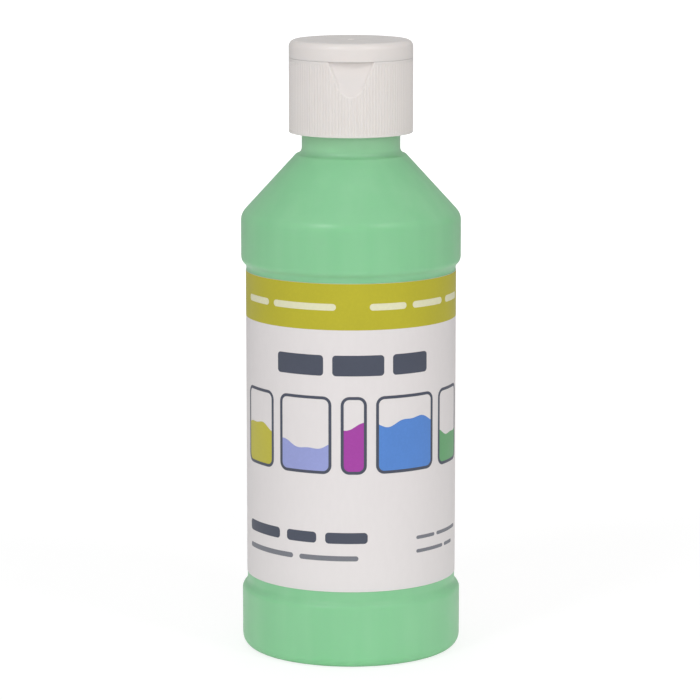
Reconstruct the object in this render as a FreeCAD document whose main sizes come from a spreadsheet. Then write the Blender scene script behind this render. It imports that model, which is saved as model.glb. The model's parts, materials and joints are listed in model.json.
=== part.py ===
"""Paint squeeze bottle with a screwed-on flip-top cap.

Frame: millimetres, +Z up, origin at the centre of the standing ring on the floor.
The thumb scoop of the cap faces -Y and the living hinge of the lid is at +Y.
"""
import FreeCAD, Part
import math
import os

import Sketcher

PARTS_FOLDER = "parts"
TOUCH = 1e-4

# (alias, value, meaning): the driving dimensions of the whole bottle, in millimetres and degrees
DIMENSIONS = [
    # blow-moulded bottle, outside
    ("body_radius", 27.9, "lower and upper bumper bands"),
    ("panel_radius", 26.6, "recessed label panel"),
    ("heel_radius", 3.0, "rounding between the wall and the standing ring"),
    ("lower_bumper_top", 15.7, "height where the lower band starts to step in"),
    ("panel_bottom", 17.1, "height where the step reaches the panel"),
    ("panel_top", 99.0, "height where the panel starts to step out"),
    ("upper_bumper_bottom", 100.2, "height where the step reaches the upper band"),
    ("step_rounding", 2.0, "rounding on both corners of each step"),
    ("shoulder_corner", 111.95, "height of the unrounded shoulder corner"),
    ("shoulder_rounding", 4.2, "rounding of the shoulder corner"),
    ("ledge_radius", 14.0, "top of the shoulder cone"),
    ("ledge_height", 127.15, "height of the top of the shoulder cone"),
    ("neck_start", 127.6, "height where the plain neck starts"),
    # blow-moulded bottle, inside
    ("wall", 0.95, "wall of the body"),
    ("floor_wall", 1.15, "wall of the base"),
    ("push_up", 2.0, "height of the base at its centre above the floor"),
    ("push_up_edge", 1.6, "height of the recessed base at its edge"),
    ("ring_inner_radius", 21.8, "inner edge of the standing ring"),
    ("recess_radius", 19.4, "edge of the recessed base"),
    # neck finish 28-410
    ("neck_radius", 12.5, "root of the neck thread"),
    ("neck_thread_radius", 13.7, "crest of the neck thread"),
    ("neck_bore_radius", 10.9, "inside of the neck"),
    ("land_height", 146.2, "sealing land on top of the neck"),
    ("thread_pitch", 4.2333, "six turns to the inch"),
    ("thread_turns", 1.5, "turns of the neck thread and of the cap thread"),
    ("thread_start", 137.0, "height of the middle of the neck thread where it starts"),
    ("thread_root_width", 2.3, "width of a thread at its root"),
    ("thread_crest_width", 1.0, "width of a thread at its crest"),
    ("thread_sink", 0.2, "depth that the foot of a thread is sunk into its wall"),
    # paint inside the bottle
    ("fill_gap", 0.05, "gap between the paint and the wall"),
    ("fill_height", 131.0, "surface of the paint, in the foot of the neck"),
    # wrap-around label
    ("label_gap", 0.02, "adhesive gap between the label and the panel"),
    ("label_film", 0.13, "thickness of the label film"),
    ("label_bottom", 19.6, "lower edge of the label"),
    ("label_top", 97.8, "upper edge of the label"),
    ("label_flap_angle", 17.0, "overlap of the label at the back, in degrees"),
    # base of the cap
    ("cap_radius", 15.7, "outside of the cap"),
    ("cap_bottom", 132.7, "lower edge of the skirt"),
    ("cap_split", 151.55, "top of the skirt, where the lid starts"),
    ("skirt_bore_radius", 14.2, "root of the cap thread"),
    ("cap_thread_radius", 12.95, "crest of the cap thread"),
    ("deck_bottom", 147.3, "underside of the deck above the liner"),
    ("deck_top", 148.9, "top of the deck"),
    ("catch_outer_radius", 14.1, "outside of the ring that the lid snaps over"),
    ("catch_inner_radius", 13.0, "inside of the ring that the lid snaps over"),
    ("catch_top", 152.5, "top of the ring that the lid snaps over"),
    ("nozzle_foot_radius", 3.9, "nozzle where it leaves the deck"),
    ("nozzle_radius", 3.3, "nozzle at its top"),
    ("nozzle_top", 151.9, "top of the nozzle"),
    ("orifice_radius", 1.6, "hole that the paint leaves by"),
    ("edge_rounding", 0.4, "small roundings on the cap and the neck"),
    ("lid_edge_rounding", 0.2, "small roundings on the lid"),
    # grip ribs
    ("rib_count", 120, "grooves around the skirt"),
    ("rib_depth", 0.25, "depth of a groove"),
    ("rib_width", 0.56, "width of a groove at the outside"),
    ("rib_bottom", 133.3, "lower end of the grooves"),
    ("rib_top", 151.0, "upper end of the grooves"),
    # thumb scoop
    ("scoop_bottom", 142.75, "lowest point of the scoop"),
    ("scoop_edge_depth", 0.35, "depth of the scoop at its lowest point"),
    ("scoop_depth", 1.75, "depth of the scoop under the lid"),
    ("scoop_half_width", 6.2, "half width of the scoop at its open top"),
    ("scoop_nose_radius", 3.3, "rounding of the lower end of the scoop"),
    # flip lid
    ("lid_bottom", 151.65, "lower edge of the lid"),
    ("lid_top", 156.1, "top of the lid"),
    ("lid_rounding", 1.7, "rounding of the rim of the lid"),
    ("lid_bore_radius", 14.3, "inside of the lid"),
    ("lid_roof", 154.8, "underside of the top of the lid"),
    ("collar_outer_radius", 4.95, "outside of the collar around the nozzle"),
    ("collar_inner_radius", 4.2, "inside of the collar around the nozzle"),
    ("collar_bottom", 150.6, "lower edge of the collar"),
    ("spud_radius", 1.35, "plug that stops the orifice"),
    ("spud_tip_radius", 0.95, "end of the plug"),
    ("spud_bottom", 149.7, "lowest point of the plug"),
    ("spud_taper", 0.9, "height of the tapered end of the plug"),
    # living hinge
    ("hinge_offset", 15.4, "distance of the hinge line from the axis of the bottle"),
    ("hinge_height", 151.6, "height of the hinge line"),
    ("hinge_seat", 14.9, "distance of the flat seats of the hinge from the axis"),
    ("hinge_width", 9.0, "width of the hinge strap"),
    ("hinge_side_gap", 0.1, "gap between the strap and the ends of its seats"),
    ("hinge_seat_length", 1.65, "length of each seat above and below the split"),
    ("hinge_thickness", 0.6, "thickness of the two leaves of the strap"),
    ("hinge_film", 0.3, "thickness of the strap where it bends"),
    ("hinge_groove", 0.45, "half height of the thin stretch of the strap"),
    # foam liner inside the cap
    ("liner_outer_radius", 13.9, "outside of the liner"),
    ("liner_inner_radius", 8.6, "hole in the liner"),
    ("liner_gap", 0.05, "gap between the liner and its neighbours"),
]


# rise of the shoulder cone for each millimetre towards the axis
CONE_SLOPE = "((ledge_height - shoulder_corner) / (body_radius - ledge_radius))"


def make_sheet(doc):
    """The spreadsheet of driving dimensions: value in column A, meaning in column B."""
    sheet = doc.addObject("Spreadsheet::Sheet", "dims")
    for row, (alias, value, meaning) in enumerate(DIMENSIONS, start=1):
        sheet.set(f"A{row}", str(value))
        sheet.setAlias(f"A{row}", alias)
        sheet.set(f"B{row}", meaning)
    doc.recompute()
    return sheet


def value_of(sheet, expression):
    """The number that an expression of aliases gives."""
    result = sheet.evalExpression(expression)
    return float(getattr(result, "Value", result))


def in_sheet(expression):
    """An expression of bare aliases, with each alias pointed at the sheet."""
    words = []
    word = ""
    for character in expression + " ":
        if character.isalnum() or character == "_":
            word += character
            continue
        is_alias = any(word == alias for alias, _, _ in DIMENSIONS)
        words.append(f"dims.{word}" if is_alias else word)
        words.append(character)
        word = ""
    return "".join(words).strip()


def new_body(doc, label):
    """An empty body whose label names the file of the sub-part."""
    body = doc.addObject("PartDesign::Body", label)
    body.Label = label
    return body


def origin_feature(body, role):
    """The plane or axis of the body's own origin with this role."""
    for feature in body.Origin.OriginFeatures:
        if feature.Role == role:
            return feature
    raise ValueError(f"{body.Label} has no {role}")


def attached_sketch(body, name, plane):
    """An empty sketch on one of the body's own origin planes."""
    sketch = body.newObject("Sketcher::SketchObject", name)
    sketch.AttachmentSupport = [(origin_feature(body, plane), "")]
    sketch.MapMode = "FlatFace"
    return sketch


def pin(sketch, geometry, point, kind, expression, value):
    """Holds one coordinate of a sketch point at an expression of the sheet."""
    if abs(value) < TOUCH:
        axis = -2 if kind == "DistanceX" else -1
        sketch.addConstraint(Sketcher.Constraint("PointOnObject", geometry, point, axis))
        return
    number = sketch.addConstraint(
        Sketcher.Constraint(kind, -1, 1, geometry, point, value)
    )
    sketch.setExpression(f"Constraints[{number}]", in_sheet(expression))


def outline(sheet, body, name, plane, corners):
    """A closed outline of straight sides, each corner pinned to two expressions."""
    sketch = attached_sketch(body, name, plane)
    places = [
        FreeCAD.Vector(value_of(sheet, across), value_of(sheet, up), 0)
        for across, up in corners
    ]
    count = len(corners)
    for number in range(count):
        side = Part.LineSegment(places[number], places[(number + 1) % count])
        sketch.addGeometry(side, False)
    for number in range(count):
        following = (number + 1) % count
        sketch.addConstraint(
            Sketcher.Constraint("Coincident", number, 2, following, 1)
        )
    for number, (across, up) in enumerate(corners):
        pin(sketch, number, 1, "DistanceX", across, places[number].x)
        pin(sketch, number, 1, "DistanceY", up, places[number].y)
    return sketch


def revolve(body, sketch, name):
    """A full turn of a sketch about the upright axis."""
    feature = body.newObject("PartDesign::Revolution", name)
    feature.Profile = sketch
    feature.ReferenceAxis = (sketch, ["V_Axis"])
    feature.Angle = 360.0
    body.Tip = feature
    body.Document.recompute()
    return feature


def ring_edges(sheet, feature, places):
    """Names of the circular edges about the axis at each (radius, height)."""
    wanted = [(value_of(sheet, r), value_of(sheet, z)) for r, z in places]
    names = []
    for number, edge in enumerate(feature.Shape.Edges, start=1):
        if not isinstance(edge.Curve, Part.Circle):
            continue
        centre = edge.Curve.Center
        if math.hypot(centre.x, centre.y) > TOUCH:
            continue
        for radius, height in wanted:
            same_radius = abs(edge.Curve.Radius - radius) < TOUCH
            if same_radius and abs(centre.z - height) < TOUCH:
                names.append(f"Edge{number}")
    if len(names) < len(places):
        raise ValueError(f"{feature.Name}: {len(names)} of {len(places)} rings found")
    return names


def round_rings(sheet, body, name, radius, places):
    """Rounds the circular edges at each (radius, height) of the body's tip."""
    base = body.Tip
    fillet = body.newObject("PartDesign::Fillet", name)
    fillet.Base = (base, ring_edges(sheet, base, places))
    fillet.setExpression("Radius", in_sheet(radius))
    body.Tip = fillet
    body.Document.recompute()
    return fillet


def thread(sheet, body, name, root, crest, middle):
    """A right-hand helical ridge from its root radius to its crest radius."""
    sketch = outline(
        sheet,
        body,
        f"{name}_profile",
        "XZ_Plane",
        [
            (root, f"{middle} - thread_root_width / 2"),
            (crest, f"{middle} - thread_crest_width / 2"),
            (crest, f"{middle} + thread_crest_width / 2"),
            (root, f"{middle} + thread_root_width / 2"),
        ],
    )
    helix = body.newObject("PartDesign::AdditiveHelix", name)
    helix.Profile = sketch
    helix.ReferenceAxis = (sketch, ["V_Axis"])
    helix.Mode = "pitch-turns-angle"
    helix.setExpression("Pitch", in_sheet("thread_pitch"))
    helix.setExpression("Turns", in_sheet("thread_turns"))
    body.Tip = helix
    body.Document.recompute()
    return helix


def cone_height(radius, inward):
    """Height at a radius of the shoulder cone, set back square to itself by inward."""
    return (
        f"shoulder_corner + (body_radius - {radius}) * {CONE_SLOPE}"
        f" - {inward} * sqrt(1 + {CONE_SLOPE}^2)"
    )


def make_bottle(doc, sheet):
    """The blow-moulded shell with its push-up base and threaded neck."""
    body = new_body(doc, "bottle")
    inner_radius = "(body_radius - wall)"
    inner_panel = "(panel_radius - wall)"
    inner_shoulder = cone_height(inner_radius, "wall")
    inner_neck = cone_height("neck_bore_radius", "wall")
    section = outline(
        sheet,
        body,
        "bottle_section",
        "XZ_Plane",
        [
            ("0", "push_up"),
            ("recess_radius", "push_up_edge"),
            ("ring_inner_radius", "0"),
            ("body_radius", "0"),
            ("body_radius", "lower_bumper_top"),
            ("panel_radius", "panel_bottom"),
            ("panel_radius", "panel_top"),
            ("body_radius", "upper_bumper_bottom"),
            ("body_radius", "shoulder_corner"),
            ("ledge_radius", "ledge_height"),
            ("neck_radius", "neck_start"),
            ("neck_radius", "land_height"),
            ("neck_bore_radius", "land_height"),
            ("neck_bore_radius", inner_neck),
            (inner_radius, inner_shoulder),
            (inner_radius, "upper_bumper_bottom"),
            (inner_panel, "panel_top"),
            (inner_panel, "panel_bottom"),
            (inner_radius, "lower_bumper_top"),
            (inner_radius, "floor_wall"),
            ("ring_inner_radius", "floor_wall"),
            ("recess_radius", "push_up_edge + floor_wall"),
            ("0", "push_up + floor_wall"),
        ],
    )
    revolve(body, section, "bottle_shell")
    round_rings(
        sheet,
        body,
        "steps_rounded",
        "step_rounding",
        [
            ("body_radius", "lower_bumper_top"),
            ("panel_radius", "panel_bottom"),
            ("panel_radius", "panel_top"),
            ("body_radius", "upper_bumper_bottom"),
        ],
    )
    round_rings(
        sheet, body, "heel_rounded", "heel_radius", [("body_radius", "0")]
    )
    round_rings(
        sheet,
        body,
        "inner_heel_rounded",
        "heel_radius - wall",
        [(inner_radius, "floor_wall")],
    )
    round_rings(
        sheet,
        body,
        "shoulder_rounded",
        "shoulder_rounding",
        [("body_radius", "shoulder_corner")],
    )
    round_rings(
        sheet,
        body,
        "inner_shoulder_rounded",
        "shoulder_rounding - wall",
        [(inner_radius, inner_shoulder)],
    )
    round_rings(
        sheet,
        body,
        "land_rounded",
        "edge_rounding",
        [("neck_radius", "land_height"), ("neck_bore_radius", "land_height")],
    )
    thread(
        sheet,
        body,
        "neck_thread",
        "neck_radius - thread_sink",
        "neck_thread_radius",
        "thread_start",
    )
    return body


def make_paint(doc, sheet):
    """The paint, a sealed fill that follows the inside of the shell at a small gap."""
    body = new_body(doc, "paint")
    radius = "(body_radius - wall - fill_gap)"
    panel = "(panel_radius - wall - fill_gap)"
    neck = "(neck_bore_radius - fill_gap)"
    shoulder = cone_height(radius, "(wall + fill_gap)")
    neck_foot = cone_height(neck, "(wall + fill_gap)")
    floor = "(floor_wall + fill_gap)"
    section = outline(
        sheet,
        body,
        "paint_section",
        "XZ_Plane",
        [
            ("0", f"push_up + {floor}"),
            ("recess_radius", f"push_up_edge + {floor}"),
            ("ring_inner_radius + fill_gap", floor),
            (radius, floor),
            (radius, "lower_bumper_top - fill_gap"),
            (panel, "panel_bottom - fill_gap"),
            (panel, "panel_top + fill_gap"),
            (radius, "upper_bumper_bottom + fill_gap"),
            (radius, shoulder),
            (neck, neck_foot),
            (neck, "fill_height"),
            ("0", "fill_height"),
        ],
    )
    revolve(body, section, "paint_fill")
    round_rings(
        sheet, body, "paint_heel_rounded", "heel_radius - wall", [(radius, floor)]
    )
    round_rings(
        sheet,
        body,
        "paint_shoulder_rounded",
        "shoulder_rounding - wall",
        [(radius, shoulder)],
    )
    return body


def make_label(doc, sheet):
    """The film wrapped once around the panel, with a short overlap at the back."""
    body = new_body(doc, "label")
    inside = "panel_radius + label_gap"
    outside = f"{inside} + label_film"
    wrap = outline(
        sheet,
        body,
        "label_section",
        "XZ_Plane",
        [
            (inside, "label_bottom"),
            (outside, "label_bottom"),
            (outside, "label_top"),
            (inside, "label_top"),
        ],
    )
    revolve(body, wrap, "label_wrap")
    flap = outline(
        sheet,
        body,
        "flap_section",
        "YZ_Plane",
        [
            (outside, "label_bottom"),
            (f"{outside} + label_film", "label_bottom"),
            (f"{outside} + label_film", "label_top"),
            (outside, "label_top"),
        ],
    )
    overlap = revolve(body, flap, "label_overlap")
    overlap.setExpression("Angle", in_sheet("label_flap_angle"))
    overlap.Midplane = True
    doc.recompute()
    return body


def add_ribs(sheet, body):
    """Fine upright grooves around the skirt, each one a V that is cut from outside."""
    groove = attached_sketch(body, "rib_section", "XY_Plane")
    groove.setExpression("AttachmentOffset.Base.z", in_sheet("rib_bottom"))
    tip = value_of(sheet, "cap_radius - rib_depth")
    beyond = value_of(sheet, "cap_radius + rib_depth")
    width = value_of(sheet, "rib_width")
    corners = [
        FreeCAD.Vector(tip, 0, 0),
        FreeCAD.Vector(beyond, width, 0),
        FreeCAD.Vector(beyond, -width, 0),
    ]
    for number, corner in enumerate(corners):
        groove.addGeometry(Part.LineSegment(corner, corners[(number + 1) % 3]), False)
    for number in range(3):
        groove.addConstraint(
            Sketcher.Constraint("Coincident", number, 2, (number + 1) % 3, 1)
        )
    pin(groove, 0, 1, "DistanceX", "cap_radius - rib_depth", tip)
    groove.addConstraint(Sketcher.Constraint("PointOnObject", 0, 1, -1))
    pin(groove, 1, 1, "DistanceX", "cap_radius + rib_depth", beyond)
    groove.addConstraint(Sketcher.Constraint("Symmetric", 1, 1, 2, 1, -1))
    spread = groove.addConstraint(
        Sketcher.Constraint("DistanceY", 2, 1, 1, 1, 2 * width)
    )
    groove.setExpression(f"Constraints[{spread}]", in_sheet("rib_width * 2"))
    pocket = body.newObject("PartDesign::Pocket", "rib_groove")
    pocket.Profile = groove
    pocket.Reversed = True
    pocket.setExpression("Length", in_sheet("rib_top - rib_bottom"))
    body.Tip = pocket
    body.Document.recompute()
    pattern = body.newObject("PartDesign::PolarPattern", "rib_grooves")
    pattern.Originals = [pocket]
    pattern.Axis = (origin_feature(body, "Z_Axis"), [""])
    pattern.Angle = 360.0
    pattern.setExpression("Occurrences", in_sheet("rib_count"))
    body.Tip = pattern
    body.Document.recompute()
    return pattern


def scoop_outline(sheet, body, top):
    """The outline of the thumb scoop: two sides that lean together into a round nose."""
    half = value_of(sheet, "scoop_half_width")
    nose = value_of(sheet, "scoop_nose_radius")
    high = value_of(sheet, top)
    reach = math.hypot(half, high - nose)
    meet = math.atan2(high - nose, half) - math.acos(nose / reach)
    middle = FreeCAD.Vector(0, nose, 0)
    right = middle + FreeCAD.Vector(math.cos(meet), math.sin(meet), 0) * nose
    left = FreeCAD.Vector(-right.x, right.y, 0)
    right_top = FreeCAD.Vector(half, high, 0)
    left_top = FreeCAD.Vector(-half, high, 0)
    circle = Part.Circle(middle, FreeCAD.Vector(0, 0, 1), nose)
    sketch = attached_sketch(body, "scoop_outline", "XZ_Plane")
    arc = sketch.addGeometry(
        Part.ArcOfCircle(circle, math.pi - meet, 2 * math.pi + meet), False
    )
    right_side = sketch.addGeometry(Part.LineSegment(right, right_top), False)
    across = sketch.addGeometry(Part.LineSegment(right_top, left_top), False)
    left_side = sketch.addGeometry(Part.LineSegment(left_top, left), False)
    for constraint in (
        Sketcher.Constraint("Tangent", arc, 2, right_side, 1),
        Sketcher.Constraint("Tangent", left_side, 2, arc, 1),
        Sketcher.Constraint("Coincident", right_side, 2, across, 1),
        Sketcher.Constraint("Coincident", across, 2, left_side, 1),
        Sketcher.Constraint("Symmetric", right_side, 2, left_side, 1, -2),
    ):
        sketch.addConstraint(constraint)
    pin(sketch, right_side, 2, "DistanceX", "scoop_half_width", half)
    pin(sketch, right_side, 2, "DistanceY", top, high)
    pin(sketch, arc, 3, "DistanceX", "0", 0)
    pin(sketch, arc, 3, "DistanceY", "scoop_nose_radius", nose)
    number = sketch.addConstraint(Sketcher.Constraint("Radius", arc, nose))
    sketch.setExpression(f"Constraints[{number}]", in_sheet("scoop_nose_radius"))
    return sketch


def add_scoop(sheet, body):
    """The thumb scoop: a flat that leans in towards its top, with upright walls round it."""
    lean = "atan2(scoop_depth - scoop_edge_depth; cap_split - scoop_bottom)"
    top = f"(catch_top + edge_rounding - scoop_bottom) / cos({lean})"
    sketch = scoop_outline(sheet, body, top)
    sketch.AttachmentOffset = FreeCAD.Placement(
        FreeCAD.Vector(), FreeCAD.Rotation(FreeCAD.Vector(1, 0, 0), -1)
    )
    sketch.setExpression("AttachmentOffset.Base.y", in_sheet("scoop_bottom"))
    sketch.setExpression(
        "AttachmentOffset.Base.z", in_sheet("cap_radius - scoop_edge_depth")
    )
    sketch.setExpression("AttachmentOffset.Rotation.Axis.x", "1")
    sketch.setExpression("AttachmentOffset.Rotation.Axis.y", "0")
    sketch.setExpression("AttachmentOffset.Rotation.Axis.z", "0")
    sketch.setExpression("AttachmentOffset.Rotation.Angle", in_sheet(f"-{lean}"))
    scoop = body.newObject("PartDesign::Pocket", "thumb_scoop")
    scoop.Profile = sketch
    scoop.Type = "ThroughAll"
    scoop.Reversed = True
    body.Tip = scoop
    body.Document.recompute()
    return scoop


def add_hinge_seat(sheet, body, name, low, high):
    """A flat seat for the hinge strap, cut into the back of the wall."""
    half = "(hinge_width / 2 + hinge_side_gap)"
    seat = body.newObject("PartDesign::SubtractiveBox", name)
    seat.AttachmentSupport = [(origin_feature(body, "XY_Plane"), "")]
    seat.MapMode = "FlatFace"
    seat.setExpression("Length", in_sheet(f"2 * {half}"))
    seat.setExpression("Width", in_sheet("cap_radius"))
    seat.setExpression("Height", in_sheet(f"{high} - ({low})"))
    seat.setExpression("AttachmentOffset.Base.x", in_sheet(f"-{half}"))
    seat.setExpression("AttachmentOffset.Base.y", in_sheet("hinge_seat"))
    seat.setExpression("AttachmentOffset.Base.z", in_sheet(low))
    body.Tip = seat
    body.Document.recompute()
    return seat


def make_cap_base(doc, sheet):
    """The screwed part of the cap: ribbed skirt, deck, nozzle and lid catch."""
    body = new_body(doc, "cap_base")
    section = outline(
        sheet,
        body,
        "cap_section",
        "XZ_Plane",
        [
            ("skirt_bore_radius", "cap_bottom"),
            ("cap_radius", "cap_bottom"),
            ("cap_radius", "cap_split"),
            ("catch_outer_radius", "cap_split"),
            ("catch_outer_radius", "catch_top"),
            ("catch_inner_radius", "catch_top"),
            ("catch_inner_radius", "deck_top"),
            ("nozzle_foot_radius", "deck_top"),
            ("nozzle_radius", "nozzle_top"),
            ("orifice_radius", "nozzle_top"),
            ("orifice_radius", "deck_bottom"),
            ("skirt_bore_radius", "deck_bottom"),
        ],
    )
    revolve(body, section, "cap_shell")
    round_rings(
        sheet,
        body,
        "cap_edges_rounded",
        "edge_rounding",
        [
            ("cap_radius", "cap_bottom"),
            ("catch_outer_radius", "catch_top"),
            ("nozzle_radius", "nozzle_top"),
            ("orifice_radius", "nozzle_top"),
        ],
    )
    add_ribs(sheet, body)
    add_scoop(sheet, body)
    add_hinge_seat(
        sheet,
        body,
        "base_hinge_seat",
        "hinge_height - hinge_seat_length",
        "hinge_height",
    )
    thread(
        sheet,
        body,
        "cap_thread",
        "skirt_bore_radius + thread_sink",
        "cap_thread_radius",
        "thread_start - thread_pitch / 2",
    )
    return body


def make_flip_lid(doc, sheet):
    """The lid: a shallow cup with a plug for the orifice and a collar around it."""
    body = new_body(doc, "flip_lid")
    section = outline(
        sheet,
        body,
        "lid_section",
        "XZ_Plane",
        [
            ("0", "spud_bottom"),
            ("spud_tip_radius", "spud_bottom"),
            ("spud_radius", "spud_bottom + spud_taper"),
            ("spud_radius", "lid_roof"),
            ("collar_inner_radius", "lid_roof"),
            ("collar_inner_radius", "collar_bottom"),
            ("collar_outer_radius", "collar_bottom"),
            ("collar_outer_radius", "lid_roof"),
            ("lid_bore_radius", "lid_roof"),
            ("lid_bore_radius", "lid_bottom"),
            ("cap_radius", "lid_bottom"),
            ("cap_radius", "lid_top"),
            ("0", "lid_top"),
        ],
    )
    revolve(body, section, "lid_shell")
    round_rings(
        sheet, body, "lid_rim_rounded", "lid_rounding", [("cap_radius", "lid_top")]
    )
    round_rings(
        sheet,
        body,
        "lid_edges_rounded",
        "lid_edge_rounding",
        [
            ("spud_tip_radius", "spud_bottom"),
            ("collar_inner_radius", "collar_bottom"),
            ("cap_radius", "lid_bottom"),
        ],
    )
    add_hinge_seat(
        sheet,
        body,
        "lid_hinge_seat",
        "lid_bottom - lid_edge_rounding",
        "hinge_height + hinge_seat_length",
    )
    return body


def make_hinge_film(doc, sheet):
    """The strap that joins lid and base, thinned along the line where it bends."""
    body = new_body(doc, "hinge_film")
    back = "(hinge_offset + hinge_film / 2)"
    front = f"{back} - hinge_thickness"
    thin = f"{back} - hinge_film"
    end = "(hinge_seat_length - hinge_side_gap)"
    section = outline(
        sheet,
        body,
        "strap_section",
        "YZ_Plane",
        [
            (front, f"hinge_height - {end}"),
            (back, f"hinge_height - {end}"),
            (back, f"hinge_height + {end}"),
            (front, f"hinge_height + {end}"),
            (front, "hinge_height + hinge_groove"),
            (thin, "hinge_height + hinge_groove / 2"),
            (thin, "hinge_height - hinge_groove / 2"),
            (front, "hinge_height - hinge_groove"),
        ],
    )
    strap = body.newObject("PartDesign::Pad", "strap")
    strap.Profile = section
    strap.setExpression("Length", in_sheet("hinge_width"))
    strap.Midplane = True
    body.Tip = strap
    doc.recompute()
    return body


def make_cap_liner(doc, sheet):
    """The foam ring that seals the cap against the land of the neck."""
    body = new_body(doc, "cap_liner")
    low = "land_height + liner_gap"
    high = "deck_bottom - liner_gap"
    section = outline(
        sheet,
        body,
        "liner_section",
        "XZ_Plane",
        [
            ("liner_inner_radius", low),
            ("liner_outer_radius", low),
            ("liner_outer_radius", high),
            ("liner_inner_radius", high),
        ],
    )
    revolve(body, section, "liner_ring")
    return body


def check_document(doc, bodies):
    """Stops if any object failed or any sub-part is not one valid solid."""
    for item in doc.Objects:
        if "Invalid" in item.State or "Error" in item.State:
            raise RuntimeError(f"{item.Name} failed: {item.State}")
    for body in bodies:
        shape = body.Shape
        if shape.isNull() or not shape.isValid():
            raise RuntimeError(f"{body.Label} has no valid shape")
        if len(shape.Solids) != 1:
            raise RuntimeError(f"{body.Label} is {len(shape.Solids)} solids")


def write_parts(bodies):
    """Writes each sub-part to its own file and prints its volume and box."""
    os.makedirs(PARTS_FOLDER, exist_ok=True)
    for body in bodies:
        body.Shape.exportStep(os.path.join(PARTS_FOLDER, f"{body.Label}.step"))
        box = body.Shape.BoundBox
        print(
            f"{body.Label:12s} volume {body.Shape.Volume:10.2f} mm3,"
            f" z {box.ZMin:.2f} to {box.ZMax:.2f}, width {box.XLength:.2f}"
        )


def main():
    doc = FreeCAD.newDocument("paint_bottle")
    sheet = make_sheet(doc)
    makers = [
        make_bottle,
        make_paint,
        make_label,
        make_cap_base,
        make_flip_lid,
        make_hinge_film,
        make_cap_liner,
    ]
    bodies = [make(doc, sheet) for make in makers]
    doc.recompute()
    check_document(doc, bodies)
    write_parts(bodies)


main()
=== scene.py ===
"""A squeeze bottle of paint with a ribbed flip-top cap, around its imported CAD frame.

Metres, +Z up. The scoop and the front of the label face -Y, the lid's hinge is at +Y.
"""

import json
import math

import bmesh
import bpy
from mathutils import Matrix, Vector


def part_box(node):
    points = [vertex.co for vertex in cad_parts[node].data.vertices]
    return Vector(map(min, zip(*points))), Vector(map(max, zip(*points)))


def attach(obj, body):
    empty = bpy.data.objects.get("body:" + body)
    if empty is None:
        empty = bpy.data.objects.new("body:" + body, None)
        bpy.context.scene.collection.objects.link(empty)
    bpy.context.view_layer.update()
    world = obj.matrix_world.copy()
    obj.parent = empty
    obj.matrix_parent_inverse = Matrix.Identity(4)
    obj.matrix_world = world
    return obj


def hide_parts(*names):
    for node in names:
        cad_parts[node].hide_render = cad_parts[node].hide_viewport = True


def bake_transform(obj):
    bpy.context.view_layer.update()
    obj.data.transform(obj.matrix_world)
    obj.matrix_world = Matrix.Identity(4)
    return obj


MM = 0.001
TURN = 2 * math.pi
BACK = math.pi / 2
FRONT = -math.pi / 2

# lengths that count as none, as no gap between vertices, and as lying on a wall
TINY = 1e-7
MERGE = 1e-6
ON_WALL = 0.1 * MM

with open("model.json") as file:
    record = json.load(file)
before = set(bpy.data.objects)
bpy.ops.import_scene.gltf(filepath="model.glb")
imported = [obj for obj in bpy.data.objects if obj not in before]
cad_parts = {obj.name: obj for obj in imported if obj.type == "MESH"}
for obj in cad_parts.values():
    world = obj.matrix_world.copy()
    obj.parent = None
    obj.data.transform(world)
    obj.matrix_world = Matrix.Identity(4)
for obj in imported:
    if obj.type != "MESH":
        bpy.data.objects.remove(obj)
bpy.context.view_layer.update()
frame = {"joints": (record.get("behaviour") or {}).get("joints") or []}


# ---------------------------------------------------------------- sizes from the frame


def outer_radius(node):
    """Half the width of a CAD node along X."""
    low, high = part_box(node)
    return (high[0] - low[0]) / 2


def heights(node):
    """(lowest, highest) point of a CAD node."""
    low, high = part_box(node)
    return low[2], high[2]


def joint_place(name):
    """The point that a joint turns about."""
    found = [joint for joint in frame["joints"] if joint["name"] == name]
    return Vector(found[0]["pos_m"])


BODY_RADIUS = outer_radius("bottle")
LAND = heights("bottle")[1]
FILM_RADIUS = outer_radius("label")
LABEL_LOW, LABEL_HIGH = heights("label")
CAP_RADIUS = outer_radius("cap_base")
CAP_LOW, CATCH_TOP = heights("cap_base")
SPUD_LOW, LID_TOP = heights("flip_lid")
LINER_RADIUS = outer_radius("cap_liner")
LINER_LOW, LINER_HIGH = heights("cap_liner")
FILL_TOP = heights("paint")[1]
HINGE = joint_place("lid_hinge")

# bottle
PANEL_RADIUS = BODY_RADIUS - 1.3 * MM
WALL = 0.95 * MM
FLOOR_WALL = 1.15 * MM
HEEL_ROUNDING = 3.0 * MM
LOWER_STEP_HEIGHT = 1.4 * MM
UPPER_STEP_HEIGHT = 1.2 * MM
STEP_ROUNDING = 2.0 * MM
LOWER_STEP = LABEL_LOW - 3.9 * MM
UPPER_STEP = LABEL_HIGH + 1.2 * MM
SHOULDER = 111.95 * MM
SHOULDER_ROUNDING = 4.2 * MM
LEDGE_RADIUS = 14.0 * MM
LEDGE = 127.15 * MM
NECK_START = LEDGE + 0.45 * MM
NECK_RADIUS = 12.5 * MM
NECK_BORE = 10.9 * MM
LEDGE_ROUNDING = 0.9 * MM
NECK_FILLET = 1.6 * MM
INNER_NECK_ROUNDING = 2 * MM
INNER_STEP_ROUNDING = 0.8 * MM
RING_ROUNDING = 0.5 * MM
RING_RADIUS = 21.8 * MM
RECESS_RADIUS = 19.4 * MM
PUSH_UP = 2.0 * MM
PUSH_UP_EDGE = 1.6 * MM
SEAM_WIDTH = 0.22 * MM
SEAM_HEIGHT = 0.05 * MM
PINCH_WIDTH = 0.5 * MM
PINCH_DEPTH = 0.22 * MM
PINCH_HIGH = 3 * MM

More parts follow.
